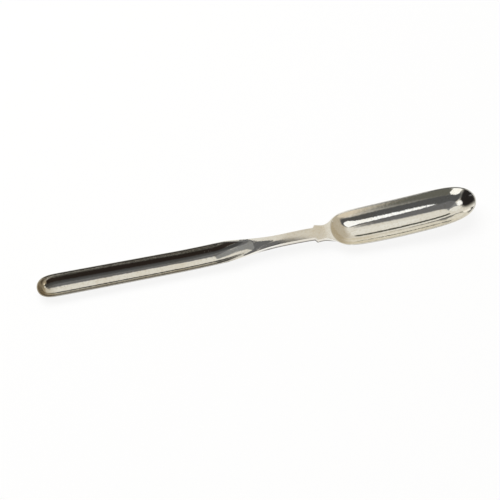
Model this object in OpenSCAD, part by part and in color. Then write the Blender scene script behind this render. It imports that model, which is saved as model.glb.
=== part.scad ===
// Marrow scoop: a wide bowl and a long narrow scoop, soldered to the two ends of a forged shank.
// The hollows open upwards (+Z), +X runs from the narrow end to the bowl's tip,
// and the two rounded bellies rest on the plane z = 0.

/* [Bowl] */
// Length of the bowl from its heel to its tip
bowl_length = 75.5; // [66:0.5:84]
// Outside width of the bowl at its widest
bowl_width = 22.1; // [18:0.1:26]
// Distance from the heel to the widest place
bowl_widest = 36; // [30:0.5:42]
// Depth of the hollow below the bowl's edge
bowl_depth = 5.5; // [4.5:0.1:7.5]
// Thickness of the metal at the bottom of the bowl
bowl_wall = 1.15; // [0.8:0.05:1.6]
// Width of the flat edge round the hollow
bowl_edge = 0.8; // [0.5:0.05:1.3]
// Height that the edge gains from the heel to the tip
bowl_tip_lift = 6.9; // [4:0.1:8.5]

/* [Narrow scoop] */
// Length of the narrow scoop from its end to the middle of its soldered joint
scoop_length = 118.5; // [105:0.5:130]
// Outside width of the channel near its rounded end
scoop_width = 13.1; // [10.5:0.1:16]
// Outside width of the channel where it starts to run out
scoop_run_width = 12.3; // [9.5:0.1:15]
// Depth of the channel below its edge
scoop_depth = 4.1; // [3.2:0.1:5]
// Thickness of the metal at the bottom of the channel
scoop_wall = 1.1; // [0.7:0.05:1.5]
// Width of the flat edge along the channel
scoop_edge = 0.7; // [0.4:0.05:1.1]
// Length over which the channel rounds off at its end
scoop_end_length = 15; // [10:0.5:20]
// Length of the ramp on which the channel's floor runs out
runout_length = 19; // [14:0.5:25]
// Distance from the end of the ramp to the soldered joint
runout_to_joint = 9; // [7:0.5:11]
// Distance from the place where the channel starts to narrow to the soldered joint
narrowing_to_joint = 23.5; // [18:0.5:27]

/* [Shank] */
// Length of the shank from its soldered joint to the bowl's heel
shank_length = 31; // [28:0.5:38]
// Thickness of the shank
shank_thickness = 3.8; // [2.8:0.1:4.4]
// Width of the shank at its waist
waist_width = 5.6; // [4.4:0.1:6.8]
// Distance from the soldered joint to the waist
waist_from_joint = 6; // [4:0.5:10]
// Height of the shank's top at its crest above the table
crest_height = 8.7; // [8:0.1:10]
// Distance from the crest back to where the channel's edge starts to climb
climb_length = 67; // [50:1:85]
// Height of the rounded crown on the shank's top
crown_height = 0.7; // [0:0.05:0.9]
// Distance from the place where the crown starts to the soldered joint
crown_to_joint = 15; // [11:0.5:19]
// Distance from the soldered joint to the place where the crown is highest
crown_from_joint = 4; // [3:0.5:6]
// Distance from the place where the crown has faded to the bowl's heel
crown_to_heel = 1; // [0.5:0.5:4]

/* [Shoulders] */
// Width of the shank just behind the shoulders
shoulder_foot_width = 5.9; // [5:0.1:7]
// Width across the points of the two shoulders
shoulder_width = 9; // [7.8:0.1:10.2]
// Length of the sloping back of each shoulder
shoulder_back = 1.1; // [0.5:0.1:2]
// Distance from the shoulder points to the bowl's heel
shoulder_to_heel = 7.5; // [6:0.1:9]
// Width of the neck between the shoulders and the bowl
neck_width = 8; // [6.8:0.1:9]
// Distance from the neck to the bowl's heel
neck_to_heel = 3.4; // [2.5:0.1:4.5]
// Length by which the horns of the seat reach past the heel
horn_reach = 3; // [2:0.1:4.5]

/* [Soldered joints] */
// Thickness of the film of solder in both joints
solder_film = 0.1; // [0.05:0.01:0.2]
// Length of the sloping face of the scarf between shank and narrow scoop
scarf_run = 4; // [1:0.5:6]
// Length by which the drop reaches under the bowl
drop_length = 6; // [4:0.25:7]
// Width of the drop where it leaves the shank
drop_width = 9; // [6:0.25:12]
// Thickness of the drop
drop_thickness = 0.8; // [0.4:0.05:1.2]

/* [Hidden] */

// Power that rounds an outline like an ellipse
outline_power = 0.5;
// How square the bowl's outline turns at the heel and at the tip
heel_squareness = 9;
tip_squareness = 5.6;
// How much the bowl's outline draws in from its widest place towards each end
heel_taper = 0.1;
tip_taper = 0.03;
taper_power = 2;
// How square the narrow scoop's end turns
scoop_end_squareness = 4.6;
// Fullness of the two hollowed sections, where 2 is a parabola
bowl_fullness = 2.2;
scoop_fullness = 2.6;
// Fullness of the shank's section, nearly a bar with rounded corners
bar_fullness = 6;
// Power that brings the narrowing of the channel forward
narrowing_ease = 0.75;
// Share of an S-curve in the ramp, which is straight at 0
ramp_ease = 0.6;
// Share of the hollow's width that is lost along the ramp
runout_narrowing = 0.2;
// Distance past the heel at which the bowl's edge is lowest
low_from_heel = 7;
// Distance from the crest of the shank to the bowl's heel
crest_to_heel = 13;

// Step of u over which the outline's slope is taken, and the area below which a triangle is left out
slope_step = 0.001;
least_area = 1e-9;

// Steps along and across the surfaces
bowl_steps = 18;
section_steps = 10;
channel_steps = 12;
ramp_steps = 14;
round_steps = 10;
stem_rows = 9;
cove_rows = 3;
flare_rows = 6;
seat_rows = 6;
drop_rows = 5;

// Stations along the scoop, with the whole length centred on x = 0
total_length = scoop_length + shank_length + bowl_length;
x_end = -total_length / 2;
x_joint = x_end + scoop_length;
x_heel = x_joint + shank_length;
x_tip = x_heel + bowl_length;
x_widest = x_heel + bowl_widest;
x_low = x_heel + low_from_heel;
x_crest = x_heel - crest_to_heel;
x_climb = x_crest - climb_length;
x_waist = x_joint + waist_from_joint;
x_runout = x_joint - runout_to_joint;
x_ramp = x_runout - runout_length;
x_narrowing = x_joint - narrowing_to_joint;
x_crown = x_joint - crown_to_joint;
x_level = x_joint + crown_from_joint;
x_fade = x_heel - crown_to_heel;
x_round = x_end + scoop_end_length;
x_shoulder = x_heel - shoulder_to_heel;
x_foot = x_shoulder - shoulder_back;
x_neck = x_heel - neck_to_heel;

// Heights of the edge line, set so that both bellies touch z = 0
scoop_edge_height = scoop_depth + scoop_wall;
belly_share = pow((bowl_root(-1) - x_low) / (x_tip - x_low), 2);
bowl_edge_height = bowl_depth + bowl_wall - bowl_tip_lift * belly_share;

function mix(a, b, t) = a + (b - a) * t;
function unit(t) = max(0, min(1, t));
function smooth(t) = pow(unit(t), 2) * (3 - 2 * unit(t));
function between(x, a, b) = unit((x - a) / (b - a));
function curve(a, b, c, t) = mix(mix(a, b, t), mix(b, c, t), t);
function section(r, fullness, power = 1) = pow(1 - pow(unit(r), fullness), power);

// Height of the edge line: flat along the channel, over the crest, and up to the bowl's tip
function edge_z(x) =
    x < x_crest ? mix(scoop_edge_height, crest_height, smooth(between(x, x_climb, x_crest))) :
    x < x_low ? mix(crest_height, bowl_edge_height, smooth(between(x, x_crest, x_low))) :
    bowl_edge_height + bowl_tip_lift * pow((x - x_low) / (x_tip - x_low), 2);

// The bowl's outline, from the heel at u = -1 to the tip at u = 1
function bowl_arm(u) = u < 0 ? bowl_widest : bowl_length - bowl_widest;
function bowl_taper(u) = 1 - (u < 0 ? heel_taper : tip_taper) * pow(abs(u), taper_power);
function bowl_squareness(u) = u < 0 ? heel_squareness : tip_squareness;
function bowl_half(u) = bowl_width / 2 * bowl_taper(u) * section(abs(u), bowl_squareness(u), outline_power);
function bowl_outline(u) = [x_widest + u * bowl_arm(u), bowl_half(u)];

// Place on the bowl's keel from which the ray to the outline starts
function bowl_root(u) = x_widest + bowl_arm(u) * 2 / PI * sin(90 * u);
function bowl_span(u) = norm(bowl_outline(u) - [bowl_root(u), 0]);

// A point on the ray, r of the way to the outline, with drop below the edge line
function bowl_point(u, side, r, drop) =
    let (tip = bowl_outline(u))
    let (x = bowl_root(u) + r * (tip.x - bowl_root(u)))
    [x, side * r * tip.y, edge_z(x) - drop];

// The bowl's outer skin, moved outwards by a gap
function bowl_outer(u, side, r, gap) =
    let (drop = (bowl_depth + bowl_wall + gap) * section(r, bowl_fullness))
    bowl_point(u, side, r * (1 + gap / bowl_span(u)), drop);
function bowl_inner(u, side, r) =
    let (drop = bowl_depth * section(r, bowl_fullness))
    bowl_point(u, side, r * (1 - bowl_edge / bowl_span(u)), drop);

// Sample places: dense towards the outline and towards the two ends of the bowl
function across(i) = sin(90 * i / section_steps);
function along(i) = let (s = abs(i) / bowl_steps) sign(i) * s * (2 - s);

// One ray of the bowl: up the hollow from the keel, over the edge and down the outside
function bowl_ray(u, side) = concat(
    [for (i = [0 : section_steps]) bowl_inner(u, side, across(i))],
    [for (i = [section_steps : -1 : 0]) bowl_outer(u, side, across(i), 0)]);

bowl_rays = concat(
    [for (i = [bowl_steps : -1 : -bowl_steps]) bowl_ray(along(i), 1)],
    [for (i = [1 - bowl_steps : bowl_steps - 1]) bowl_ray(along(i), -1)]);

// The bar that the channel becomes: 0 in the channel and 1 at the waist
function to_bar(x) = smooth(pow(between(x, x_narrowing, x_waist), narrowing_ease));
function on_ramp(x) = let (rise = between(x, x_ramp, x_runout)) mix(rise, smooth(rise), ramp_ease);
function channel_half(x) = mix(scoop_width, scoop_run_width, between(x, x_round, x_narrowing)) / 2;
function stem_half(x) = mix(waist_width, shoulder_foot_width, smooth(between(x, x_waist, x_foot))) / 2;
function bar_half(x) = mix(channel_half(x), stem_half(x), to_bar(x));
function bar_depth(x) = mix(scoop_depth + scoop_wall, shank_thickness, to_bar(x));
function bar_section(x, r) =
    let (fullness = mix(scoop_fullness, bar_fullness, to_bar(x)))
    section(r, fullness, mix(1, 1 / bar_fullness, to_bar(x)));
function crown(x, r) =
    let (rise = smooth(between(x, x_crown, x_level)), fall = smooth(between(x, x_waist, x_fade)))
    crown_height * rise * (1 - fall) * (1 - r * r);

// Depth of the channel at r of the way across, shallower and narrower along the ramp
function channel(x, r, inner) =
    let (width = inner * (1 - runout_narrowing * on_ramp(x)))
    scoop_depth * (1 - on_ramp(x)) * section(r / width, scoop_fullness);

// A ray of the narrow scoop: its outer end [x, y] and its root on the keel
function scoop_end_half(u) = channel_half(x_round) * section(u, scoop_end_squareness, outline_power);
function scoop_tip(u) = [x_round - u * scoop_end_length, scoop_end_half(u)];
function scoop_root(u) = x_round - scoop_end_length * 2 / PI * sin(90 * u);
function ray_point(tip, root, side, r, drop) =
    let (x = mix(root, tip.x, r))
    [x, side * r * tip.y, edge_z(x) - drop];
function scoop_place(i, root, inner) =
    let (trough = i < section_steps ? inner * sin(90 * i / (section_steps - 1)) : 1)
    mix(trough, across(i), on_ramp(root));
function scoop_top(tip, root, side, i) =
    let (inner = 1 - scoop_edge / norm(tip - [root, 0]))
    let (r = scoop_place(i, root, inner))
    ray_point(tip, root, side, r, channel(root, r, inner) - crown(root, r));
function scoop_under(tip, root, side, i) =
    ray_point(tip, root, side, across(i), bar_depth(root) * bar_section(root, across(i)));
function scoop_ray(tip, root, side) = concat(
    [for (i = [0 : section_steps]) scoop_top(tip, root, side, i)],
    [for (i = [section_steps - 1 : -1 : 0]) scoop_under(tip, root, side, i)]);

// The scarf cuts the bar on a slope, so its lower end reaches further towards the bowl
function scarf_x(middle, z) =
    middle - scarf_run / shank_thickness * (z - edge_z(middle) + shank_thickness / 2);
function bar_top(x, r) = [x, r * bar_half(x), edge_z(x) + crown(x, abs(r))];
function bar_under(x, r) = [x, r * bar_half(x), edge_z(x) - bar_depth(x) * bar_section(x, abs(r))];
function scarf_top(middle, r) = bar_top(scarf_x(middle, bar_top(middle, r).z), r);
function scarf_under(middle, r) = bar_under(scarf_x(middle, bar_under(middle, r).z), r);
function scarf_ray(middle, side) = concat(
    [for (i = [0 : section_steps]) scarf_top(middle, side * across(i))],
    [for (i = [section_steps - 1 : -1 : 0]) scarf_under(middle, side * across(i))]);

x_scarf_start = scarf_x(x_joint, edge_z(x_joint) + crown_height);
x_straight = min(x_ramp, x_narrowing);
channel_line = concat(
    [for (i = [1 : ramp_steps]) mix(x_scarf_start, x_straight, i / (ramp_steps + 1))],
    [for (i = [0 : channel_steps]) mix(x_straight, x_round, i / channel_steps)]);
function scoop_side(side) = concat(
    [scarf_ray(x_joint - solder_film / 2, side)],
    [for (x = channel_line) scoop_ray([x, bar_half(x)], x, side)],
    [for (i = [1 : round_steps]) let (s = i / round_steps, u = s * (2 - s))
        scoop_ray(scoop_tip(u), scoop_root(u), side)]);
scoop_far = scoop_side(1);
scoop_near = scoop_side(-1);
scoop_rays = concat(scoop_far, [for (i = [len(scoop_near) - 2 : -1 : 0]) scoop_near[i]]);

// The shank's edge in plan: stem, shoulder, cove and flare, ending at the tip of the horn
horn_u = horn_reach / bowl_widest - 1;
horn = [for (i = [0 : 1]) bowl_outer(horn_u, 1, 1, solder_film)[i]];
horn_slope = bowl_outline(horn_u) - bowl_outline(horn_u - slope_step);
foot_point = [x_foot, shoulder_foot_width / 2];
shoulder_point = [x_shoulder, shoulder_width / 2];
neck_point = [x_neck, neck_width / 2];
cove_bend = [(x_shoulder + x_neck) / 2, neck_point.y];
flare_bend = [horn.x - (horn.y - neck_point.y) * horn_slope.x / horn_slope.y, neck_point.y];
stem_line = [for (i = [1 : stem_rows - 1]) mix(x_joint + scarf_run / 2, x_foot, i / stem_rows)];
edge_line = concat(
    [for (x = stem_line) [x, bar_half(x)]],
    [foot_point, shoulder_point],
    [for (i = [1 : cove_rows]) curve(shoulder_point, cove_bend, neck_point, i / cove_rows)],
    [for (i = [1 : flare_rows - 1]) curve(neck_point, flare_bend, horn, i / flare_rows)]);
flare_start = len(edge_line) - flare_rows;
function sweep(i) = pow(unit((i - flare_start) / flare_rows), 2);

// Where a column of the shank, r of the way to its edge, meets the bowl
function heel_u(r) = mix(-1, horn_u, r * r);
function seat_point(r, share) = bowl_outer(heel_u(r), sign(r), mix(1, seat_end(r), share), solder_film);
function shank_depth(r) = shank_thickness * section(abs(r), bar_fullness, 1 / bar_fullness);
function drop_gap(r) = solder_film + drop_thickness * (1 - r * r);
function drop_root(r) =
    let (share = shank_depth(r) / (bowl_depth + bowl_wall + drop_gap(r)))
    pow(1 - share, 1 / bowl_fullness);
function seat_end(r) =
    let (reach = drop_root(0) - 1 + drop_length / bowl_span(-1))
    drop_root(r) - reach * section(abs(r) * horn.y * 2 / drop_width, 2, outline_power);
function drop_point(r, share) =
    bowl_outer(heel_u(r), sign(r), mix(seat_end(r), drop_root(r), share), drop_gap(r));

// A place on the shank, swept from the straight rows of the stem to the curved line of the seat
function swept(i, r, goal) =
    let (edge = edge_line[i])
    [edge.x - sweep(i) * (horn.x - goal.x), edge.y * mix(r, goal.y / horn.y, sweep(i))];
function shank_top(i, r) =
    let (p = swept(i, r, seat_point(r, 0)))
    [p.x, p.y, edge_z(p.x) + crown(p.x, abs(r))];
function shank_under(i, r) =
    let (p = swept(i, r, drop_point(r, 1)))
    [p.x, p.y, edge_z(p.x) - shank_depth(r)];

last_row = len(edge_line) - 1;
function shank_column(r) = concat(
    [scarf_top(x_joint + solder_film / 2, r)],
    [for (i = [0 : last_row]) shank_top(i, r)],
    [for (i = [0 : seat_rows]) seat_point(r, i / seat_rows)],
    [for (i = [0 : drop_rows]) drop_point(r, i / drop_rows)],
    [for (i = [last_row : -1 : 0]) shank_under(i, r)],
    [scarf_under(x_joint + solder_film / 2, r)]);
places = [for (i = [-section_steps : section_steps]) sign(i) * across(abs(i))];
shank_columns = [for (r = places) shank_column(r)];

// Films of solder: each column is a thin closed loop between the two faces of its joint
function seat_film(r) = concat(
    [for (i = [0 : seat_rows]) bowl_outer(heel_u(r), sign(r), mix(1, seat_end(r), i / seat_rows), 0)],
    [for (i = [seat_rows : -1 : 0]) seat_point(r, i / seat_rows)]);
function scarf_film(r) = [
    scarf_top(x_joint - solder_film / 2, r),
    scarf_top(x_joint + solder_film / 2, r),
    scarf_under(x_joint + solder_film / 2, r),
    scarf_under(x_joint - solder_film / 2, r)];

// Triangles over a grid of points, closed on itself along its rows or columns where asked
function grid_faces(rows, cols, close_rows, close_cols) =
    [for (i = [0 : rows - (close_rows ? 1 : 2)], j = [0 : cols - (close_cols ? 1 : 2)])
        let (next_i = (i + 1) % rows, next_j = (j + 1) % cols)
        let (a = i * cols + j, b = next_i * cols + j, c = next_i * cols + next_j, d = i * cols + next_j)
        each [[a, b, c], [a, c, d]]];
function has_area(p, f) = norm(cross(p[f[1]] - p[f[0]], p[f[2]] - p[f[0]])) > least_area;

module skin(grid, close_rows, close_cols, caps = []) {
    points = [for (row = grid) each row];
    faces = concat(grid_faces(len(grid), len(grid[0]), close_rows, close_cols), caps);
    polyhedron(points, [for (f = faces) if (has_area(points, f)) f]);
}

// Triangles that close the end of a ray's section, top to underside
function section_cap(first, turned) =
    let (last = first + 2 * section_steps)
    [for (i = [0 : section_steps - 1])
        let (a = first + i, b = first + i + 1, c = last - i - 1, d = last - i)
        each turned ? [[a, c, b], [a, d, c]] : [[a, b, c], [a, c, d]]];

module marrow_bowl() {
    color("silver") skin(bowl_rays, true, false);
}

module shank() {
    color("gainsboro") skin(shank_columns, false, true);
}

module narrow_scoop() {
    near_start = (len(scoop_rays) - 1) * len(scoop_rays[0]);
    caps = concat(section_cap(0, false), section_cap(near_start, true));
    color("lightgray") skin(scoop_rays, false, false, caps);
}

module bowl_solder_seam() {
    color("khaki") skin([for (r = places) seat_film(r)], false, true);
}

module scoop_solder_seam() {
    color("khaki") skin([for (r = places) scarf_film(r)], false, true);
}

marrow_bowl();
shank();
narrow_scoop();
bowl_solder_seam();
scoop_solder_seam();
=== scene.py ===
import math

import bmesh
import bpy
import numpy as np
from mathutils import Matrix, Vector


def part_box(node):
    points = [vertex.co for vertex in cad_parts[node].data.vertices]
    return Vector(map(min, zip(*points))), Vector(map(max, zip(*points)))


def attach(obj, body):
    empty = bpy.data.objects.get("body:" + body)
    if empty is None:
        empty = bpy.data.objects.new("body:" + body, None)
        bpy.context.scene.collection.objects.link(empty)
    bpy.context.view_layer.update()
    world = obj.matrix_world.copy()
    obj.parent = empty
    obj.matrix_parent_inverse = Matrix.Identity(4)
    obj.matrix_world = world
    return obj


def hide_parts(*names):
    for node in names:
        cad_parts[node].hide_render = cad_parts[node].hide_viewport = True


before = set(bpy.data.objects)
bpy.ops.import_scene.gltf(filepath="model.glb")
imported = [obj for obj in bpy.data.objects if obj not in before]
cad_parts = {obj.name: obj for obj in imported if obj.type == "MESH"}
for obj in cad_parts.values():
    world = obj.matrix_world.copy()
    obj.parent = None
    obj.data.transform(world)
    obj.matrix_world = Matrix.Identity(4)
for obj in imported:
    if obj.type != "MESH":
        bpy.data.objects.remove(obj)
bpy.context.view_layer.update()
mm = 0.001
print("frame loaded:", ", ".join(sorted(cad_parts)))

# everything along the scoop hangs on the frame's own boxes
bowlLow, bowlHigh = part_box("marrow_bowl")
scoopLow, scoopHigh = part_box("narrow_scoop")
heelX = bowlLow.x
tipX = bowlHigh.x
endX = scoopLow.x
jointX = heelX - 31 * mm


# values that work inside a node tree as they do on numbers
class Field:
    def __init__(self, tree, socket):
        self.tree = tree
        self.socket = socket

    def math(self, kind, *others):
        node = self.tree.nodes.new("ShaderNodeMath")
        node.operation = kind
        for place, value in zip(node.inputs, (self, *others)):
            feed(self.tree, value, place)
        return Field(self.tree, node.outputs[0])

    def __add__(self, other):
        return self.math("ADD", other)

    def __sub__(self, other):
        return self.math("SUBTRACT", other)

    def __mul__(self, other):
        return self.math("MULTIPLY", other)

    def __truediv__(self, other):
        return self.math("DIVIDE", other)

    def __pow__(self, other):
        return self.math("POWER", other)

    def __abs__(self):
        return self.math("ABSOLUTE")

    def __rsub__(self, other):
        return self * -1.0 + other

    def __rtruediv__(self, other):
        return self ** -1.0 * other

    __radd__ = __add__
    __rmul__ = __mul__


def feed(tree, value, place):
    if isinstance(value, Field):
        tree.links.new(value.socket, place)
    else:
        place.default_value = value


def sine(a):
    return a.math("SINE") if isinstance(a, Field) else np.sin(a)


def signOf(a):
    return a.math("SIGN") if isinstance(a, Field) else np.sign(a)


def below(a, limit):
    return a.math("LESS_THAN", limit) if isinstance(a, Field) else np.less(a, limit) * 1.0


def atLeast(a, low):
    return a.math("MAXIMUM", low) if isinstance(a, Field) else np.maximum(a, low)


def atMost(a, high):
    return a.math("MINIMUM", high) if isinstance(a, Field) else np.minimum(a, high)


def unit(t):
    return atMost(atLeast(t, 0.0), 1.0)


def smooth(t):
    t = unit(t)
    return t * t * (3.0 - t * 2.0)


def between(x, a, b):
    return unit((x - a) / (b - a))


def mix(a, b, t):
    return a + (b - a) * t


def bend(a, b, c, t):
    return mix(mix(a, b, t), mix(b, c, t), t)


def rounded(r, fullness, power=1.0):
    return (1.0 - unit(r) ** fullness) ** power


# steps that crowd towards the outline
def crowded(q):
    return sine(q * (math.pi / 2))


# the line that the scoop's edge follows, from the channel over the crest to the bowl's tip
edgeLine = {
    "channelEdge": 5.2 * mm,
    "crestEdge": 8.7 * mm,
    "tipLift": 6.9 * mm,
    "climbX": heelX - 80 * mm,
    "crestX": heelX - 13 * mm,
    "lowX": heelX + 7 * mm,
    "tipX": tipX,
}
edgeLine["lowEdge"] = bowlHigh.z - edgeLine["tipLift"]


def edgeZ(x, s):
    climb = smooth(between(x, s["climbX"], s["crestX"]))
    fall = smooth(between(x, s["crestX"], s["lowX"]))
    rise = atLeast(x - s["lowX"], 0.0) / (s["tipX"] - s["lowX"])
    height = s["channelEdge"] + (s["crestEdge"] - s["channelEdge"]) * climb
    return height + (s["lowEdge"] - s["crestEdge"]) * fall + s["tipLift"] * (rise * rise)


bowl = {
    **edgeLine,
    "heelX": heelX,
    "widestX": heelX + 36 * mm,
    "width": bowlHigh.y - bowlLow.y,
    "depth": 5.5 * mm,
    "wall": 1.15 * mm,
    "edge": 0.8 * mm,
    "bead": 0.1 * mm,  # how far the rim's outer corner is rounded down
    "innerBead": 0.3 * mm,
    "beadPower": 2.4,
    "beadRise": 4.0,  # how soon the rounding starts past the seat
    "crest": 0.85,  # the rim's highest line, as a share of its width
    "hornReach": 3 * mm,
    "heelSquareness": 9.0,
    "tipSquareness": 5.6,
    "heelTaper": 0.1,
    "tipTaper": 0.03,
    "fullness": 2.2,
}


# a ray of the bowl from its keel to its outline, u is -1 at the heel and 1 at the tip
def bowlRay(u, s):
    heel = below(u, 0.0)
    arm = mix(s["tipX"] - s["widestX"], s["widestX"] - s["heelX"], heel)
    squareness = mix(s["tipSquareness"], s["heelSquareness"], heel)
    taper = mix(s["tipTaper"], s["heelTaper"], heel)
    half = s["width"] * 0.5 * (1.0 - taper * (u * u))
    half = half * rounded(abs(u), squareness, 0.5)
    end = s["widestX"] + u * arm
    root = s["widestX"] + arm * sine(u * (math.pi / 2)) * (2 / math.pi)
    span = ((end - root) ** 2.0 + half ** 2.0) ** 0.5
    return {"root": root, "end": end, "half": half, "span": span}


def bowlPoint(ray, side, r, drop, s):
    x = ray["root"] + r * (ray["end"] - ray["root"])
    return x, side * r * ray["half"], atLeast(edgeZ(x, s) - drop, 0.0)


def bowlOuter(u, side, r, gap, s, bead=0.0):
    ray = bowlRay(u, s)
    drop = bead + (s["depth"] + s["wall"] + gap - bead) * rounded(r, s["fullness"])
    return bowlPoint(ray, side, r * (1.0 + gap / ray["span"]), drop, s)


# round the outline from the tip along the far side to the heel and back along the near side
def bowlWay(p):
    turn = abs(p - 0.5) * 4.0 - 1.0
    away = abs(turn)
    return signOf(turn) * away * (2.0 - away), signOf(0.5 - p)


# where the shank's seat leaves the bowl's outline
def hornPlace(s):
    return s["hornReach"] / (s["widestX"] - s["heelX"]) - 1.0


def outerBead(u, s):
    return s["bead"] * smooth((u - hornPlace(s)) * s["beadRise"])


def bowlHollow(p, q, s):
    u, side = bowlWay(p)
    ray = bowlRay(u, s)
    r = crowded(q)
    drop = s["innerBead"] + (s["depth"] - s["innerBead"]) * rounded(r, s["fullness"])
    return bowlPoint(ray, side, r * (1.0 - s["edge"] / ray["span"]), drop, s)


def bowlRim(p, q, s):
    u, side = bowlWay(p)
    ray = bowlRay(u, s)
    inner = below(q, s["crest"])
    corner = mix(outerBead(u, s), s["innerBead"], inner)
    drop = corner * (abs(q - s["crest"]) / mix(1.0 - s["crest"], s["crest"], inner)) ** s["beadPower"]
    return bowlPoint(ray, side, 1.0 - s["edge"] / ray["span"] * (1.0 - q), drop, s)


def bowlBack(p, q, s):
    u, side = bowlWay(p)
    return bowlOuter(u, side, crowded(q), 0.0, s, outerBead(u, s))


channel = {
    **edgeLine,
    "endX": endX,
    "roundX": endX + 15 * mm,
    "narrowX": jointX - 23.5 * mm,
    "floorX": jointX - 28 * mm,
    "runoutX": jointX - 9 * mm,
    "crownX": jointX - 15 * mm,
    "levelX": jointX + 4 * mm,
    "jointX": jointX,
    "waistX": jointX + 6 * mm,
    "footX": heelX - 8.6 * mm,
    "fadeX": heelX - 1 * mm,
    "width": scoopHigh.y - scoopLow.y,
    "runWidth": 12.3 * mm,
    "waistWidth": 5.6 * mm,
    "footWidth": 5.9 * mm,
    "depth": 4.1 * mm,
    "wall": 1.1 * mm,
    "edge": 0.7 * mm,
    "barDepth": 3.8 * mm,
    "crown": 0.7 * mm,
    "bead": 0.1 * mm,
    "beadReach": 0.12 * mm,
    "innerBead": 0.3 * mm,
    "innerReach": 0.6 * mm,
    "beadPower": 2.4,
    "scarfRun": 4 * mm,
    "scarfReach": 10 * mm,  # how far the slope of the scarf is felt along the mesh
    "film": 0.1 * mm,
    "endSquareness": 4.6,
    "fullness": 2.6,
    "barFullness": 6.0,
    "narrowEase": 0.75,
    "floorEase": 0.6,
    "runoutNarrowing": 0.2,
    # how the painted shade inside the channel grows towards its edge and fades at the closed end
    "tarnishFrom": 0.42,  # shares of the way from the keel to the edge
    "tarnishFull": 0.7,
    "tarnish": 0.7,
    "endShade": 0.3,
}


def toBar(x, s):
    return smooth(between(x, s["narrowX"], s["waistX"]) ** s["narrowEase"])


def onRamp(x, s):
    rise = between(x, s["floorX"], s["runoutX"])
    return mix(rise, smooth(rise), s["floorEase"])


def barHalf(x, s):
    wide = mix(s["width"], s["runWidth"], between(x, s["roundX"], s["narrowX"])) * 0.5
    slim = mix(s["waistWidth"], s["footWidth"], smooth(between(x, s["waistX"], s["footX"]))) * 0.5
    return mix(wide, slim, toBar(x, s))


def barUnder(x, r, s):
    bar = toBar(x, s)
    depth = mix(s["depth"] + s["wall"], s["barDepth"], bar)
    section = rounded(r, mix(s["fullness"], s["barFullness"], bar), mix(1.0, 1.0 / s["barFullness"], bar))
    return s["bead"] + (depth - s["bead"]) * section


def crown(x, r, s):
    fade = 1.0 - smooth(between(x, s["waistX"], s["fadeX"]))
    return s["crown"] * smooth(between(x, s["crownX"], s["levelX"])) * fade * (1.0 - r * r)


def edgeRound(r, half, s):
    return s["bead"] * unit((r - 1.0) * half / s["beadReach"] + 1.0) ** s["beadPower"]


# along the far side from the joint to the rounded end, and back along the near side
straightShare = 0.78


def channelWay(p, s):
    m = 1.0 - abs(p * 2.0 - 1.0)
    x = mix(s["jointX"] - s["film"] * 0.5, s["roundX"], unit(m * (1.0 / straightShare)))
    q = unit((m - straightShare) * (1.0 / (1.0 - straightShare)))
    return x, q * (2.0 - q), signOf(0.5 - p)


def channelRay(x, u, s):
    length = s["roundX"] - s["endX"]
    half = barHalf(x, s) * rounded(u, s["endSquareness"], 0.5)
    end = x - u * length
    root = x - length * sine(u * (math.pi / 2)) * (2 / math.pi)
    span = ((end - root) ** 2.0 + half ** 2.0) ** 0.5
    return {"root": root, "end": end, "half": half, "span": span}


def troughWidth(x, ray, s):
    return (1.0 - s["edge"] / ray["span"]) * (1.0 - s["runoutNarrowing"] * onRamp(x, s))


def troughDrop(x, ray, q, s):
    place = crowded(q)
    r = place * troughWidth(x, ray, s)
    level = 1.0 - onRamp(x, s)
    bead = s["innerBead"] * level
    drop = bead + (s["depth"] * level - bead) * rounded(place, s["fullness"])
    return r, drop - crown(x, r, s)


def rimDrop(x, ray, q, s):
    width = troughWidth(x, ray, s)
    r = mix(width, 1.0, q)
    inner = unit(1.0 - (r - width) * ray["span"] / s["innerReach"]) ** s["beadPower"]
    bead = s["innerBead"] * (1.0 - onRamp(x, s))
    return r, bead * inner + edgeRound(r, ray["span"], s) - crown(x, r, s)


def underDrop(x, ray, q, s):
    r = crowded(q)
    return r, barUnder(x, r, s)


# a row near the joint is slanted until it lies in the scarf
def scarfShift(x, drop, s):
    near = unit(1.0 - abs(x - s["jointX"]) / s["scarfReach"])
    return x - near * near * (s["scarfRun"] / s["barDepth"]) * (s["barDepth"] * 0.5 - drop)


def channelPoint(p, q, s, dropAt):
    x, u, side = channelWay(p, s)
    r, drop = dropAt(x, channelRay(x, u, s), q, s)
    x = scarfShift(x, drop, s)
    ray = channelRay(x, u, s)
    r, drop = dropAt(x, ray, q, s)
    place = mix(ray["root"], ray["end"], r)
    return place, side * r * ray["half"], atLeast(edgeZ(place, s) - drop, 0.0)


def channelTrough(p, q, s):
    return channelPoint(p, q, s, troughDrop)


def channelRim(p, q, s):
    return channelPoint(p, q, s, rimDrop)


def channelBack(p, q, s):
    return channelPoint(p, q, s, underDrop)


# painted shade in the corners under the bar: none on the upright sides, most where they turn under
cornerFall = (0.4, 0.6)
cornerReach = (0.75, 0.95)


def underCorner(r, s):
    fall = rounded(r, s["barFullness"], 1.0 / s["barFullness"])
    return smooth(between(fall, *cornerFall)) * smooth(between(r, *cornerReach))


def channelCorner(p, q, s):
    x = channelWay(p, s)[0]
    return underCorner(crowded(q), s) * smooth(between(x, s["runoutX"], s["jointX"]))


# and painted shade inside the channel, most below its edge, less towards the closed end and none on the
# run-out
def innerShade(p, s):
    x, u, side = channelWay(p, s)
    return (1.0 - onRamp(x, s)) * mix(s["tarnish"], s["endShade"], u)


def troughCorner(p, q, s):
    return smooth(between(crowded(q), s["tarnishFrom"], s["tarnishFull"])) * innerShade(p, s)


# painted shade on the rim's inner side, darkening a light line there
def rimCorner(p, q, s):
    return (1.0 - smooth(q)) * innerShade(p, s)


weldGap = 0.0004 * mm
creaseAngle = math.radians(30)
rimReach = 6.0  # the higher, the closer the rim's wear keeps to the rim


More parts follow.
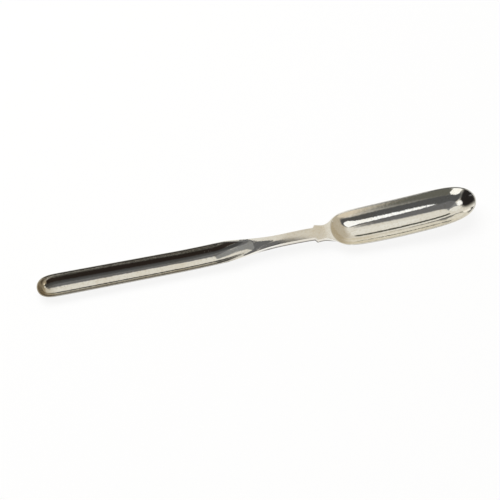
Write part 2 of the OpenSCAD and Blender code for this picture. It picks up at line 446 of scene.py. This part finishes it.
# one patch of a shell: a grid whose points are put in place by their shape
def shellPatch(tree, sizes, rows, columns, shape, worn, hidden=None):
    grid = tree.nodes.new("GeometryNodeMeshGrid")
    for name, value in (("Size X", 1.0), ("Size Y", 1.0), ("Vertices X", rows), ("Vertices Y", columns)):
        grid.inputs[name].default_value = value
    here = tree.nodes.new("GeometryNodeInputPosition")
    split = tree.nodes.new("ShaderNodeSeparateXYZ")
    tree.links.new(here.outputs[0], split.inputs[0])
    p, q = (Field(tree, split.outputs[axis]) + 0.5 for axis in ("X", "Y"))
    join = tree.nodes.new("ShaderNodeCombineXYZ")
    for axis, value in zip("XYZ", shape(p, q, sizes)):
        tree.links.new(value.socket, join.inputs[axis])
    mark = tree.nodes.new("GeometryNodeStoreNamedAttribute")
    mark.inputs["Name"].default_value = "rim"
    feed(tree, 1.0 if worn else unit(q) ** rimReach, mark.inputs["Value"])
    shade = tree.nodes.new("GeometryNodeStoreNamedAttribute")
    shade.inputs["Name"].default_value = "corner"
    # the corner attribute carries painted shade
    feed(tree, hidden(p, q, sizes) if hidden else 0.0, shade.inputs["Value"])
    place = tree.nodes.new("GeometryNodeSetPosition")
    tree.links.new(grid.outputs["Mesh"], mark.inputs["Geometry"])
    tree.links.new(mark.outputs["Geometry"], shade.inputs["Geometry"])
    tree.links.new(shade.outputs["Geometry"], place.inputs["Geometry"])
    tree.links.new(join.outputs[0], place.inputs["Position"])
    return place.outputs["Geometry"]


def shellTree(name, sizes, patches):
    tree = bpy.data.node_groups.new(name, "GeometryNodeTree")
    for size in sizes:
        tree.interface.new_socket(size, in_out="INPUT", socket_type="NodeSocketFloat")
    tree.interface.new_socket("finish", in_out="INPUT", socket_type="NodeSocketMaterial")
    tree.interface.new_socket("Geometry", in_out="OUTPUT", socket_type="NodeSocketGeometry")
    entry = tree.nodes.new("NodeGroupInput")
    fields = {size: Field(tree, entry.outputs[size]) for size in sizes}
    gather = tree.nodes.new("GeometryNodeJoinGeometry")
    for patch in patches:
        tree.links.new(shellPatch(tree, fields, *patch), gather.inputs[0])
    weld = tree.nodes.new("GeometryNodeMergeByDistance")
    weld.inputs["Distance"].default_value = weldGap
    realize = tree.nodes.new("GeometryNodeRealizeInstances")
    paint = tree.nodes.new("GeometryNodeSetMaterial")
    leave = tree.nodes.new("NodeGroupOutput")
    tree.links.new(gather.outputs[0], weld.inputs["Geometry"])
    tree.links.new(weld.outputs[0], realize.inputs[0])
    tree.links.new(realize.outputs[0], paint.inputs["Geometry"])
    tree.links.new(entry.outputs["finish"], paint.inputs["Material"])
    tree.links.new(paint.outputs[0], leave.inputs[0])
    return tree


# closes, turns outwards and smooths a shell
def finishShell(mesh):
    shell = bmesh.new()
    shell.from_mesh(mesh)
    bmesh.ops.remove_doubles(shell, verts=shell.verts, dist=weldGap)
    bmesh.ops.dissolve_degenerate(shell, edges=shell.edges, dist=weldGap)
    openEdges = [e for e in shell.edges if e.is_boundary]
    cap = bmesh.ops.holes_fill(shell, edges=openEdges, sides=0)["faces"]
    bmesh.ops.triangulate(shell, faces=cap)
    bmesh.ops.recalc_face_normals(shell, faces=shell.faces)
    stillOpen = sum(1 for e in shell.edges if len(e.link_faces) != 2)
    shell.to_mesh(mesh)
    shell.free()
    mesh.shade_smooth()
    mesh.set_sharp_from_angle(angle=creaseAngle)
    return stillOpen


def showPiece(piece, node):
    stillOpen = finishShell(piece.data)
    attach(piece, "root")
    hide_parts(node)
    print(f"{piece.name}: {len(piece.data.polygons)} faces, {stillOpen} open edges")
    return piece


def treePiece(name, sizes, patches, finish):
    tree = shellTree(name + "Shape", sizes, patches)
    blank = bpy.data.objects.new(name + "Blank", bpy.data.meshes.new(name + "Blank"))
    bpy.context.collection.objects.link(blank)
    shaper = blank.modifiers.new("shape", "NODES")
    shaper.node_group = tree
    for item in tree.interface.items_tree:
        if item.in_out == "INPUT":
            shaper[item.identifier] = finish if item.name == "finish" else float(sizes[item.name])
    made = blank.evaluated_get(bpy.context.evaluated_depsgraph_get())
    mesh = bpy.data.meshes.new_from_object(made)
    bpy.data.objects.remove(blank)
    mesh.name = name
    piece = bpy.data.objects.new(name, mesh)
    bpy.context.collection.objects.link(piece)
    return piece


# a closed skin over rows of points, each row running across the piece
def skinPiece(name, rows, places, finish, under=()):
    grid = np.array([np.stack(np.broadcast_arrays(*row), axis=-1) for row in rows])
    length, count = grid.shape[:2]
    faces = []
    for i in range(length):
        for j in range(count - 1):
            k = (i + 1) % length
            faces.append((i * count + j, i * count + j + 1, k * count + j + 1, k * count + j))
    mesh = bpy.data.meshes.new(name)
    mesh.from_pydata(grid.reshape(-1, 3).tolist(), [], faces)
    edge = np.tile(abs(places) ** rimReach, length)
    mesh.attributes.new("rim", "FLOAT", "POINT").data.foreach_set("value", edge)
    # painted shade under the shank's corners, kept in the corner attribute
    hidden = np.outer(np.isin(np.arange(length), under), underCorner(abs(places), channel)).ravel()
    mesh.attributes.new("corner", "FLOAT", "POINT").data.foreach_set("value", hidden)
    mesh.materials.append(finish)
    piece = bpy.data.objects.new(name, mesh)
    bpy.context.collection.objects.link(piece)
    return piece


def newSockets(tree, names, way, kind):
    for name in names:
        tree.interface.new_socket(name, in_out=way, socket_type=kind)


def noise(tree, stretch, detail):
    here = tree.nodes.new("ShaderNodeTexCoord")
    scale = tree.nodes.new("ShaderNodeMapping")
    scale.inputs["Scale"].default_value = stretch
    cloud = tree.nodes.new("ShaderNodeTexNoise")
    cloud.inputs["Scale"].default_value = 1.0
    cloud.inputs["Detail"].default_value = detail
    tree.links.new(here.outputs["Object"], scale.inputs["Vector"])
    tree.links.new(scale.outputs[0], cloud.inputs["Vector"])
    return Field(tree, cloud.outputs["Fac"])


def stored(tree, name):
    node = tree.nodes.new("ShaderNodeAttribute")
    node.attribute_name = name
    return Field(tree, node.outputs["Fac"])


def ramp(value, low, high):
    node = value.tree.nodes.new("ShaderNodeMapRange")
    node.interpolation_type = "SMOOTHSTEP"
    feed(value.tree, value, node.inputs["Value"])
    feed(value.tree, low, node.inputs["From Min"])
    feed(value.tree, high, node.inputs["From Max"])
    return Field(value.tree, node.outputs["Result"])


def blend(tree, share, a, b):
    node = tree.nodes.new("ShaderNodeMix")
    node.data_type = "RGBA"
    feed(tree, share, node.inputs["Factor"])
    feed(tree, a, node.inputs["A"])
    feed(tree, b, node.inputs["B"])
    return Field(tree, node.outputs["Result"])


# what years of use leave on silver: soft waves, lengthwise hairlines, cloudy toning with specks, bright rims
# and a stem dulled by fingers, with painted shade in the corners and a closed end painted darker and browner
marks = {
    "swell": ((70, 110, 110), 1.0),  # noise cells to a metre along and across the scoop, and their detail
    "hairlines": ((45, 3000, 3000), 2.0),
    "hammer": ((700, 900, 900), 2.0),
    "cloud": ((60, 95, 95), 4.0),
    "speckle": ((900, 1300, 1300), 2.0),
    "pits": ((1400, 1400, 1400), 1.0),
    "cloudy": (0.42, 0.72),  # the part of the noise over which a mark comes up
    "speckled": (0.45, 0.7),
    "pitDull": (0.66, 0.74),
    "pitDeep": (0.68, 0.76),
    "closedEnd": (endX + 11 * mm, endX + 1 * mm),  # places along the scoop between which a mark comes up
    "stemGrip": (jointX, jointX + 9 * mm),
    "stemFade": (heelX + 1 * mm, heelX - 6 * mm),
    "bowlPolish": (heelX, heelX + 8 * mm),
    "stemTone": 0.4,
    "stemDull": 0.25,
    "cornerShade": 0.9,
    "endShade": 0.25,
    "hairlineDull": 0.03,
    "stainDull": 0.04,
    "pitRough": 0.1,
    "rimDull": 0.03,
    "finer": 0.45,  # how much less grain the bowl has
    "hairlineDepth": 0.0006,
    "pitDepth": 0.002,
}


def makeSilverMarks():
    group = bpy.data.node_groups.new("silverMarks", "ShaderNodeTree")
    colours = ("Clean", "Toned", "Tarnished")
    amounts = ("Toning", "Polish", "Waves", "Grain")
    newSockets(group, colours, "INPUT", "NodeSocketColor")
    newSockets(group, amounts, "INPUT", "NodeSocketFloat")
    newSockets(group, ("Colour",), "OUTPUT", "NodeSocketColor")
    newSockets(group, ("Roughness", "Height"), "OUTPUT", "NodeSocketFloat")
    entry = group.nodes.new("NodeGroupInput")
    leave = group.nodes.new("NodeGroupOutput")
    clean, toned, paintedShade = (Field(group, entry.outputs[name]) for name in colours)
    toning, polish, waves, grain = (Field(group, entry.outputs[name]) for name in amounts)
    rim = stored(group, "rim")
    corner = stored(group, "corner")
    swell = noise(group, *marks["swell"])
    hairlines = noise(group, *marks["hairlines"])
    hammer = noise(group, *marks["hammer"])
    cloud = noise(group, *marks["cloud"])
    pits = noise(group, *marks["pits"])
    here = group.nodes.new("ShaderNodeTexCoord")
    split = group.nodes.new("ShaderNodeSeparateXYZ")
    group.links.new(here.outputs["Object"], split.inputs[0])
    along = Field(group, split.outputs["X"])
    # painted shade: the closed end is painted darker and browner
    closedEnd = ramp(along, *marks["closedEnd"])
    handled = ramp(along, *marks["stemGrip"]) * ramp(along, *marks["stemFade"])
    speckle = ramp(noise(group, *marks["speckle"]), *marks["speckled"])
    spots = (ramp(cloud, *marks["cloudy"]) + speckle) * (1.0 - rim)
    # the toning spots and the grip's tone are the silver's own; the closed end adds painted shade
    stainAndShade = unit(spots * toning + closedEnd + handled * marks["stemTone"])
    metal = blend(group, stainAndShade, clean, toned)
    # painted shade, near black, in the under corners, inside the channel and at the closed end
    shadeMask = unit(corner * marks["cornerShade"] + closedEnd * marks["endShade"])
    group.links.new(blend(group, shadeMask, metal, paintedShade).socket, leave.inputs["Colour"])
    dull = polish + hairlines * marks["hairlineDull"] + stainAndShade * marks["stainDull"]
    dull = dull + ramp(pits, *marks["pitDull"]) * marks["pitRough"]
    dull = dull + rim * marks["rimDull"] + handled * marks["stemDull"]
    group.links.new(dull.socket, leave.inputs["Roughness"])
    smoother = 1.0 - ramp(along, *marks["bowlPolish"]) * marks["finer"]
    height = swell * waves + hammer * grain * smoother + hairlines * marks["hairlineDepth"]
    height = height - ramp(pits, *marks["pitDeep"]) * marks["pitDepth"]
    group.links.new(height.socket, leave.inputs["Height"])
    return group


silverMarks = makeSilverMarks()


def silverFinish(name, sizes):
    finish = bpy.data.materials.new(name)
    finish.use_nodes = True
    tree = finish.node_tree
    metal = tree.nodes["Principled BSDF"]
    metal.inputs["Metallic"].default_value = 1.0
    worn = tree.nodes.new("ShaderNodeGroup")
    worn.node_tree = silverMarks
    for socket, value in sizes.items():
        worn.inputs[socket].default_value = value
    dent = tree.nodes.new("ShaderNodeBump")
    dent.inputs["Distance"].default_value = 1 * mm  # the marks' heights are in millimetres
    tree.links.new(worn.outputs["Colour"], metal.inputs["Base Color"])
    tree.links.new(worn.outputs["Roughness"], metal.inputs["Roughness"])
    tree.links.new(worn.outputs["Height"], dent.inputs["Height"])
    tree.links.new(dent.outputs["Normal"], metal.inputs["Normal"])
    return finish


silver = silverFinish("polishedSilver", {
    "Clean": (0.95, 0.93, 0.88, 1),
    "Toned": (0.80, 0.72, 0.58, 1),
    # the near-black colour of the painted shade
    "Tarnished": (0.06, 0.046, 0.032, 1),
    "Toning": 0.35,
    "Polish": 0.03,
    "Waves": 0.02,
    "Grain": 0.03,
})
solder = silverFinish("silverSolder", {
    "Clean": (0.93, 0.90, 0.83, 1),
    "Toned": (0.78, 0.69, 0.54, 1),
    "Tarnished": (0.06, 0.046, 0.032, 1),
    "Toning": 0.4,
    "Polish": 0.05,
    "Waves": 0.02,
    "Grain": 0.03,
})
print("finishes made:", silver.name, solder.name)

bowlMesh = {"around": 321, "across": 49, "rim": 11}
marrowBowl = treePiece("marrowBowl", bowl, [
    (bowlMesh["around"], bowlMesh["across"], bowlHollow, False),
    (bowlMesh["around"], bowlMesh["rim"], bowlRim, True),
    (bowlMesh["around"], bowlMesh["across"], bowlBack, False),
], silver)
showPiece(marrowBowl, "marrow_bowl")
scoopMesh = {"around": 421, "trough": 31, "rim": 17, "back": 41}
narrowScoop = treePiece("narrowScoop", channel, [
    (scoopMesh["around"], scoopMesh["trough"], channelTrough, False, troughCorner),
    (scoopMesh["around"], scoopMesh["rim"], channelRim, True, rimCorner),
    (scoopMesh["around"], scoopMesh["back"], channelBack, False, channelCorner),
], silver)
showPiece(narrowScoop, "narrow_scoop")

shank = {
    "shoulderX": heelX - 7.5 * mm,
    "neckX": heelX - 3.4 * mm,
    "shoulderWidth": 9 * mm,
    "neckWidth": 8 * mm,
    "dropLength": 6 * mm,
    "dropWidth": 9 * mm,
    "dropThickness": 0.8 * mm,
    "columns": 28,
    "stemRows": 56,
    "backRows": 5,
    "coveRows": 12,
    "flareRows": 22,
    "seatRows": 14,
    "dropRows": 12,
    "slopeStep": 0.001,  # a short way along the bowl's outline, for its slope
}
hornU = hornPlace(bowl)
film = channel["film"]


def heelU(r):
    return mix(-1.0, hornU, r * r)


def shankDepth(r, bead):
    fullness = channel["barFullness"]
    return bead + (channel["barDepth"] - bead) * rounded(abs(r), fullness, 1 / fullness)


def dropGap(r):
    return film + shank["dropThickness"] * (1 - r * r)


def dropRoot(r):
    share = shankDepth(r, 0) / (bowl["depth"] + bowl["wall"] + dropGap(r))
    return (1 - share) ** (1 / bowl["fullness"])


def seatEnd(r):
    reach = dropRoot(0.0) - 1 + shank["dropLength"] / bowlRay(-1.0, bowl)["span"]
    return dropRoot(r) - reach * rounded(abs(r) * horn[1] * 2 / shank["dropWidth"], 2, 0.5)


def seatPoint(r, share, gap=film):
    return bowlOuter(heelU(r), np.sign(r), mix(1.0, seatEnd(r), share), gap, bowl)


def dropPoint(r, share):
    return bowlOuter(heelU(r), np.sign(r), mix(seatEnd(r), dropRoot(r), share), dropGap(r), bowl)


horn = np.array(bowlOuter(hornU, 1.0, 1.0, film, bowl)[:2])


def stemDrop(x, r, under):
    if under:
        return barUnder(x, abs(r), channel)
    return edgeRound(abs(r), barHalf(x, channel), channel) - crown(x, r, channel)


# a row across the stem, slanted where it nears the scarf
def stemRow(middle, r, under):
    x = scarfShift(middle, stemDrop(middle, r, under), channel)
    return x, r * barHalf(x, channel), edgeZ(x, edgeLine) - stemDrop(x, r, under)


# a row past the stem, swept from straight to the curved line of the seat
def flareRow(edge, share, r, under):
    sweep = share * share
    goal = dropPoint(r, 1.0) if under else seatPoint(r, 0.0)
    x = edge[0] - sweep * (horn[0] - goal[0])
    y = edge[1] * mix(r, goal[1] / horn[1], sweep)
    fading = {**channel, "bead": channel["bead"] * (1 - sweep)}
    if under:
        drop = shankDepth(r, fading["bead"])
    else:
        drop = edgeRound(abs(r), edge[1], fading) - crown(x, r, channel)
    return x, y, edgeZ(x, edgeLine) - drop


def steps(count):
    return np.arange(count) / count


# the shank's edge in plan past the stem, each place with its share of the sweep
def flareLine():
    here, nearby = bowlRay(hornU, bowl), bowlRay(hornU - shank["slopeStep"], bowl)
    slope = np.array([here[k] - nearby[k] for k in ("end", "half")])
    foot = np.array([channel["footX"], channel["footWidth"] / 2])
    point = np.array([shank["shoulderX"], shank["shoulderWidth"] / 2])
    neck = np.array([shank["neckX"], shank["neckWidth"] / 2])
    coveBend = np.array([(point[0] + neck[0]) / 2, neck[1]])
    flareBend = np.array([horn[0] - (horn[1] - neck[1]) * slope[0] / slope[1], neck[1]])
    line = [(mix(foot, point, t), 0.0) for t in steps(shank["backRows"])]
    line += [(bend(point, coveBend, neck, t), 0.0) for t in steps(shank["coveRows"])]
    line += [(bend(neck, flareBend, horn, t), t) for t in steps(shank["flareRows"])]
    return line


places = crowded(np.linspace(-1, 1, 2 * shank["columns"] + 1))
before, after = jointX - film / 2, jointX + film / 2
stem = [mix(after, channel["footX"], t) for t in steps(shank["stemRows"])]
flare = flareLine()
seatShares = np.linspace(0, 1, shank["seatRows"] + 1)
dropShares = np.linspace(0, 1, shank["dropRows"] + 1)
shankRows = [stemRow(x, places, False) for x in stem]
shankRows += [flareRow(edge, share, places, False) for edge, share in flare]
shankRows += [seatPoint(places, share) for share in seatShares]
shankRows += [dropPoint(places, share) for share in dropShares]
seatDone = len(shankRows)
shankRows += [flareRow(edge, share, places, True) for edge, share in reversed(flare)]
shankRows += [stemRow(x, places, True) for x in reversed(stem)]
shankPiece = skinPiece("forgedShank", shankRows, places, silver, range(seatDone, len(shankRows)))
showPiece(shankPiece, "shank")

seatFilm = [seatPoint(places, share, 0.0) for share in seatShares]
seatFilm += [seatPoint(places, share) for share in reversed(seatShares)]
heelSolder = skinPiece("heelSolder", seatFilm, places, solder)
showPiece(heelSolder, "bowl_solder_seam")
scarfCorners = ((before, False), (after, False), (after, True), (before, True))
scarfFilm = [stemRow(x, places, under) for x, under in scarfCorners]
scarfSolder = skinPiece("scarfSolder", scarfFilm, places, solder)
showPiece(scarfSolder, "scoop_solder_seam")


# camera at the photograph's angle
view = {
    "elevation": math.radians(59.896),
    "azimuth": math.radians(-12.345),
    "distance": 650 * mm,
    "target": Vector((-4.225, 1.768, 0.127)) * mm,
    "lens": 92.233,
    "sensor": 36,
}
across = math.cos(view["elevation"])
back = Vector((
    math.sin(view["azimuth"]) * across,
    -math.cos(view["azimuth"]) * across,
    math.sin(view["elevation"]),
))
camera = bpy.data.objects.new("camera", bpy.data.cameras.new("camera"))
camera.data.lens = view["lens"]
camera.data.sensor_width = view["sensor"]
camera.location = view["target"] + back * view["distance"]
camera.rotation_mode = "QUATERNION"
camera.rotation_quaternion = (-back).to_track_quat("-Z", "Y")
bpy.context.collection.objects.link(camera)
scene = bpy.context.scene
scene.camera = camera
scene.view_settings.view_transform = "Standard"
print("camera set")

# a pale table that fades to white where it is seen, and still takes the scoop's shadow
table = {"half": 4.0, "colour": (0.9, 0.9, 0.9, 1), "glow": 0.85, "strength": 1.0}


def makeTable():
    reach = table["half"]
    mesh = bpy.data.meshes.new("table")
    corners = [(-reach, -reach, 0), (reach, -reach, 0), (reach, reach, 0), (-reach, reach, 0)]
    mesh.from_pydata(corners, [], [(0, 1, 2, 3)])
    finish = bpy.data.materials.new("paleTable")
    finish.use_nodes = True
    tree = finish.node_tree
    tree.nodes.clear()
    seen = tree.nodes.new("ShaderNodeLightPath")
    rays = Field(tree, seen.outputs["Is Camera Ray"]) + Field(tree, seen.outputs["Is Glossy Ray"])
    rays = unit(rays + Field(tree, seen.outputs["Is Transmission Ray"]))
    matt = tree.nodes.new("ShaderNodeBsdfDiffuse")
    matt.inputs["Color"].default_value = table["colour"]
    light = tree.nodes.new("ShaderNodeEmission")
    light.inputs["Strength"].default_value = table["strength"]
    both = tree.nodes.new("ShaderNodeMixShader")
    leave = tree.nodes.new("ShaderNodeOutputMaterial")
    feed(tree, rays * table["glow"], both.inputs[0])
    tree.links.new(matt.outputs[0], both.inputs[1])
    tree.links.new(light.outputs[0], both.inputs[2])
    tree.links.new(both.outputs[0], leave.inputs["Surface"])
    mesh.materials.append(finish)
    top = bpy.data.objects.new("table", mesh)
    bpy.context.collection.objects.link(top)


makeTable()

# a soft lamp over the table; the metal shows the room's own panels in its place
lamp = {"place": Vector((-0.3, 0.4, 1.4)), "size": 1.2, "power": 20.0}


def makeLamp():
    light = bpy.data.lights.new("softLamp", "AREA")
    light.size = lamp["size"]
    light.energy = lamp["power"]
    holder = bpy.data.objects.new("softLamp", light)
    holder.location = lamp["place"]
    holder.rotation_mode = "QUATERNION"
    holder.rotation_quaternion = (-lamp["place"]).to_track_quat("-Z", "Y")
    holder.visible_glossy = False
    bpy.context.collection.objects.link(holder)


makeLamp()
print("table and lamp set")

# the room round the table as soft panels, each with its middle, half sizes and turn in degrees, its softness
# and its colour: "sky" panels hang overhead and are measured to the right and to the front, "wall" panels
# stand round the table and are measured by their bearing from the front and their distance from overhead
panelRound = 3.0  # 2 gives an ellipse, more fills its corners
room = {
    "base": (0.73, 0.71, 0.65, 1),
    "panels": [
        ("wall", (94, 66), (60, 31), 12, 0.36, (0.48, 0.43, 0.34)),  # pale wall on the right
        ("sky", (-14, 66), (28, 20), 0, 0.25, (0.122, 0.122, 0.105)),  # grey front
        ("sky", (40.5, 60), (28, 12), -15, 0.3, (0.68, 0.61, 0.49)),  # pale front wall
        ("sky", (-58, -10), (16, 54), 6, 0.3, (0.02, 0.018, 0.018)),  # dark left side
        ("sky", (-1, 27), (48, 22.5), 3, 0.12, (0.085, 0.087, 0.088)),  # dark ceiling in front
        ("sky", (-18, -14), (15, 27), -4, 0.13, (0.25, 0.255, 0.255)),  # grey ceiling on the left
        ("sky", (-10, 2.5), (15.5, 19.5), 46, 0.18, (0.145, 0.146, 0.15)),  # grey ceiling overhead
        ("sky", (-40, -14), (6.5, 13.5), 2, 0.27, (1.04, 1.05, 1.05)),  # light on the left
    ],
}


def makePanelGroup():
    group = bpy.data.node_groups.new("softPanel", "ShaderNodeTree")
    newSockets(group, ("Under", "Colour"), "INPUT", "NodeSocketColor")
    newSockets(group, ("Place", "Middle", "Turn", "Half"), "INPUT", "NodeSocketVector")
    newSockets(group, ("Soft",), "INPUT", "NodeSocketFloat")
    newSockets(group, ("Colour",), "OUTPUT", "NodeSocketColor")
    entry = group.nodes.new("NodeGroupInput")
    leave = group.nodes.new("NodeGroupOutput")
    under, colour, soft = (Field(group, entry.outputs[name]) for name in ("Under", "Colour", "Soft"))
    fit = group.nodes.new("ShaderNodeMapping")
    fit.vector_type = "TEXTURE"
    for name, place in zip(("Place", "Middle", "Turn", "Half"), fit.inputs):
        group.links.new(entry.outputs[name], place)
    split = group.nodes.new("ShaderNodeSeparateXYZ")
    group.links.new(fit.outputs[0], split.inputs[0])
    x, y = (abs(Field(group, split.outputs[axis])) ** panelRound for axis in "XY")
    reach = (x + y) ** (1 / panelRound)
    inside = 1.0 - ramp(reach, 1.0 - soft, 1.0 + soft)
    group.links.new(blend(group, inside, under, colour).socket, leave.inputs[0])
    return group


def flatPlace(tree, right, front):
    node = tree.nodes.new("ShaderNodeCombineXYZ")
    feed(tree, right, node.inputs["X"])
    feed(tree, front, node.inputs["Y"])
    return Field(tree, node.outputs[0])


def makeRoom():
    world = bpy.data.worlds.new("room")
    scene.world = world
    world.use_nodes = True
    tree = world.node_tree
    toward = tree.nodes.new("ShaderNodeTexCoord")
    split = tree.nodes.new("ShaderNodeSeparateXYZ")
    tree.links.new(toward.outputs["Generated"], split.inputs[0])
    x, y, z = (Field(tree, split.outputs[axis]) for axis in "XYZ")
    zenith = z.math("ARCCOSINE") * math.degrees(1)
    stretch = zenith / atLeast((x * x + y * y) ** 0.5, 1e-5)
    places = {
        "sky": flatPlace(tree, x * stretch, y * stretch * -1.0),
        "wall": flatPlace(tree, y.math("ARCTAN2", x) * math.degrees(1) + 90.0, zenith),
    }
    colour = room["base"]
    panelGroup = makePanelGroup()
    for kind, middle, half, turn, soft, shade in room["panels"]:
        node = tree.nodes.new("ShaderNodeGroup")
        node.node_tree = panelGroup
        feed(tree, colour, node.inputs["Under"])
        feed(tree, places[kind], node.inputs["Place"])
        node.inputs["Middle"].default_value = (*middle, 0)
        node.inputs["Half"].default_value = (*half, 1)
        node.inputs["Turn"].default_value = (0, 0, math.radians(turn))
        node.inputs["Soft"].default_value = soft
        node.inputs["Colour"].default_value = (*shade, 1)
        colour = Field(tree, node.outputs[0])
    seen = tree.nodes.new("ShaderNodeLightPath")
    shown = blend(tree, Field(tree, seen.outputs["Is Camera Ray"]), colour, (1, 1, 1, 1))
    feed(tree, shown, tree.nodes["Background"].inputs["Color"])


makeRoom()
print("room made:", len(room["panels"]), "panels")

# cards hung near the scoop, in millimetres, which only the metal shows: each faces a place on it
cards = {
    "lightBox": {  # the white band in the bowl
        "place": (159, -112, 285),
        "faces": (65, 0, 5),
        "half": (67, 79),
        "colour": (1.02, 1.04, 1.05, 1),
    },
    "endLamp": {  # the glint in the closed end
        "place": (-6, -94, 60),
        "faces": (-110, 0, 5),
        "half": (20, 12),
        "colour": (2.4, 2.3, 2.1, 1),
    },
    "stemFlag": {  # the dark band on the stem
        "place": (-3, 25, 58),
        "faces": (2, 0, 8),
        "half": (8, 12),
        "colour": (0.13, 0.132, 0.136, 1),
    },
    "tipFront": {  # the light patch on the far side of the tip
        "place": (44, -79, 75),
        "faces": (101, 5, 11),
        "half": (26, 16),
        "colour": (1.04, 1.04, 1.0, 1),
    },
    "tipBack": {  # the pale near side of the tip
        "place": (66, 58, 83),
        "faces": (100, -3, 10),
        "half": (22, 24),
        "colour": (0.78, 0.77, 0.72, 1),
    },
    "flagBack": {  # the dark line along the bowl's near side
        "place": (100, 250, 175),
        "faces": (70, -5, 6),
        "half": (16, 31),
        "colour": (0.1, 0.1, 0.085, 1),
    },
    "flagFront": {  # the dark far side of the channel
        "place": (-66, -230, 125),
        "faces": (-66, 0, 3),
        "half": (62, 78),
        "colour": (0.05, 0.039, 0.033, 1),
    },
}
cardSides = 64
cardRound = 2 / panelRound


def makeCard(name, card):
    place, faces = Vector(card["place"]) * mm, Vector(card["faces"]) * mm
    turned = (faces - place).to_track_quat("Z", "Y")
    wide, high = (size * mm for size in card["half"])
    around = np.linspace(0, 2 * math.pi, cardSides, endpoint=False)
    right, up = (np.sign(a) * abs(a) ** cardRound for a in (np.cos(around), np.sin(around)))
    outline = [place + turned @ Vector((wide * a, high * b, 0)) for a, b in zip(right, up)]
    mesh = bpy.data.meshes.new(name)
    mesh.from_pydata(outline, [], [range(cardSides)])
    finish = bpy.data.materials.new(name)
    finish.use_nodes = True
    tree = finish.node_tree
    tree.nodes.clear()
    light = tree.nodes.new("ShaderNodeEmission")
    light.inputs["Color"].default_value = card["colour"]
    leave = tree.nodes.new("ShaderNodeOutputMaterial")
    tree.links.new(light.outputs[0], leave.inputs["Surface"])
    mesh.materials.append(finish)
    holder = bpy.data.objects.new(name, mesh)
    bpy.context.collection.objects.link(holder)
    holder.visible_camera = False
    holder.visible_diffuse = False
    holder.visible_shadow = False


for name, card in cards.items():
    makeCard(name, card)
print("cards hung:", ", ".join(cards))
